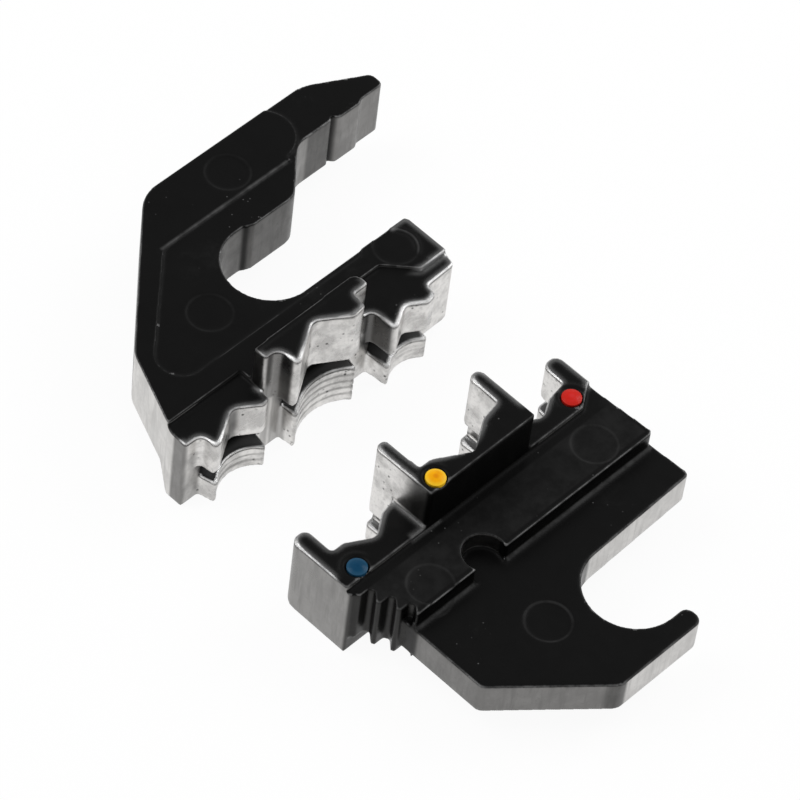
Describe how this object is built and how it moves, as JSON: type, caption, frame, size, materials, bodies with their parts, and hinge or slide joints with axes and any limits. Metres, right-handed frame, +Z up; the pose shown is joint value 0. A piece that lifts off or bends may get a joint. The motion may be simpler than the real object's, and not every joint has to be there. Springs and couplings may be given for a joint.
{
  "type": "crimping die",
  "caption": "Pair of loose steel crimping die halves with stepped nests for insulated terminals, open pin slots and coloured nest dots.",
  "frame": {"origin": "centre of the open set's box, on the surface that the backs of the crimp blocks lie on", "axes": "+X along the nests from the blue end to the red end, +Y along the crimp stroke from the lower to the upper half, +Z up through the thickness towards the marked faces"},
  "size_m": [0.0488, 0.0734, 0.0157],
  "materials": {
    "black_oxide_steel": "black oxide over cast steel, satin, with bare steel on the crimp faces",
    "blue_enamel": "glossy enamel",
    "yellow_enamel": "glossy enamel",
    "red_enamel": "glossy enamel"
  },
  "bodies": {
    "lower_half": {"lower_die": "black_oxide_steel", "blue_mark": "blue_enamel", "yellow_mark": "yellow_enamel", "red_mark": "red_enamel"},
    "upper_half": {"upper_die": "black_oxide_steel"}
  },
  "joints": [
    {"name": "die_close", "type": "slide", "parent": "lower_half", "child": "upper_half", "axis": [0, -1, 0], "range_m": [0, 0.01475]}
  ]
}
